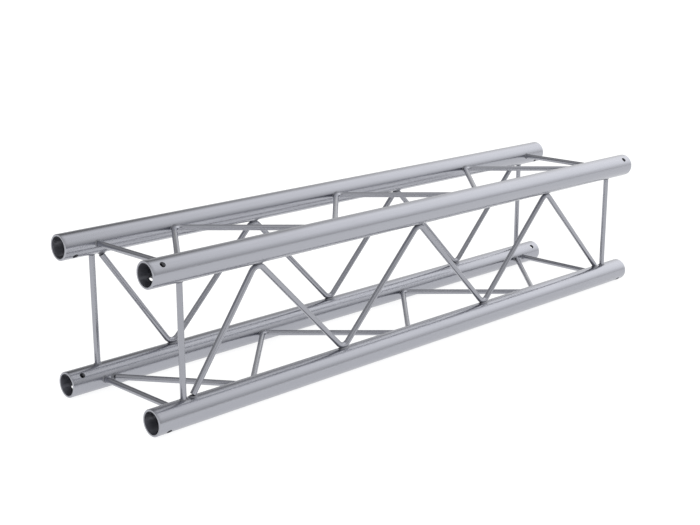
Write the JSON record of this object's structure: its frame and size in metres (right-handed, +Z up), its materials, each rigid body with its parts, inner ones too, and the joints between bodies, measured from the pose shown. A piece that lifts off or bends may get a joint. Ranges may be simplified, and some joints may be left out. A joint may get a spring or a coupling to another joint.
{
  "type": "lighting truss section",
  "caption": "Square welded aluminium box truss section for stage lighting, with rod lacing on every face and conical sockets with cross pin holes at both ends.",
  "frame": {"origin": "middle of the section, where its long axis crosses the plane halfway between the two ends", "axes": "+X along the section towards its right end, +Y towards its rear face, +Z up; the front face is at -Y"},
  "size_m": [1, 0.22, 0.22],
  "materials": {
    "chord_tube": "satin mill finish, extruded",
    "lacing_rod": "satin, drawn rod",
    "machined_socket": "turned, in shadow inside the tube",
    "weld_bead": "rippled weld bead"
  },
  "bodies": {
    "root": {"chord_front_top": "chord_tube", "chord_rear_top": "chord_tube", "chord_rear_bottom": "chord_tube", "chord_front_bottom": "chord_tube", "socket_left_front_top": "machined_socket", "socket_left_rear_top": "machined_socket", "socket_left_rear_bottom": "machined_socket", "socket_left_front_bottom": "machined_socket", "socket_right_front_top": "machined_socket", "socket_right_rear_top": "machined_socket", "socket_right_rear_bottom": "machined_socket", "socket_right_front_bottom": "machined_socket", "lacing_front": "lacing_rod", "lacing_top": "lacing_rod", "lacing_rear": "lacing_rod", "lacing_bottom": "lacing_rod", "lacing_welds_front": "weld_bead", "lacing_welds_top": "weld_bead", "lacing_welds_rear": "weld_bead", "lacing_welds_bottom": "weld_bead", "end_brace_left_front": "lacing_rod", "end_brace_left_top": "lacing_rod", "end_brace_left_rear": "lacing_rod", "end_brace_left_bottom": "lacing_rod", "end_brace_right_front": "lacing_rod", "end_brace_right_top": "lacing_rod", "end_brace_right_rear": "lacing_rod", "end_brace_right_bottom": "lacing_rod", "end_brace_welds_left": "weld_bead", "end_brace_welds_right": "weld_bead"}
  },
  "joints": []
}
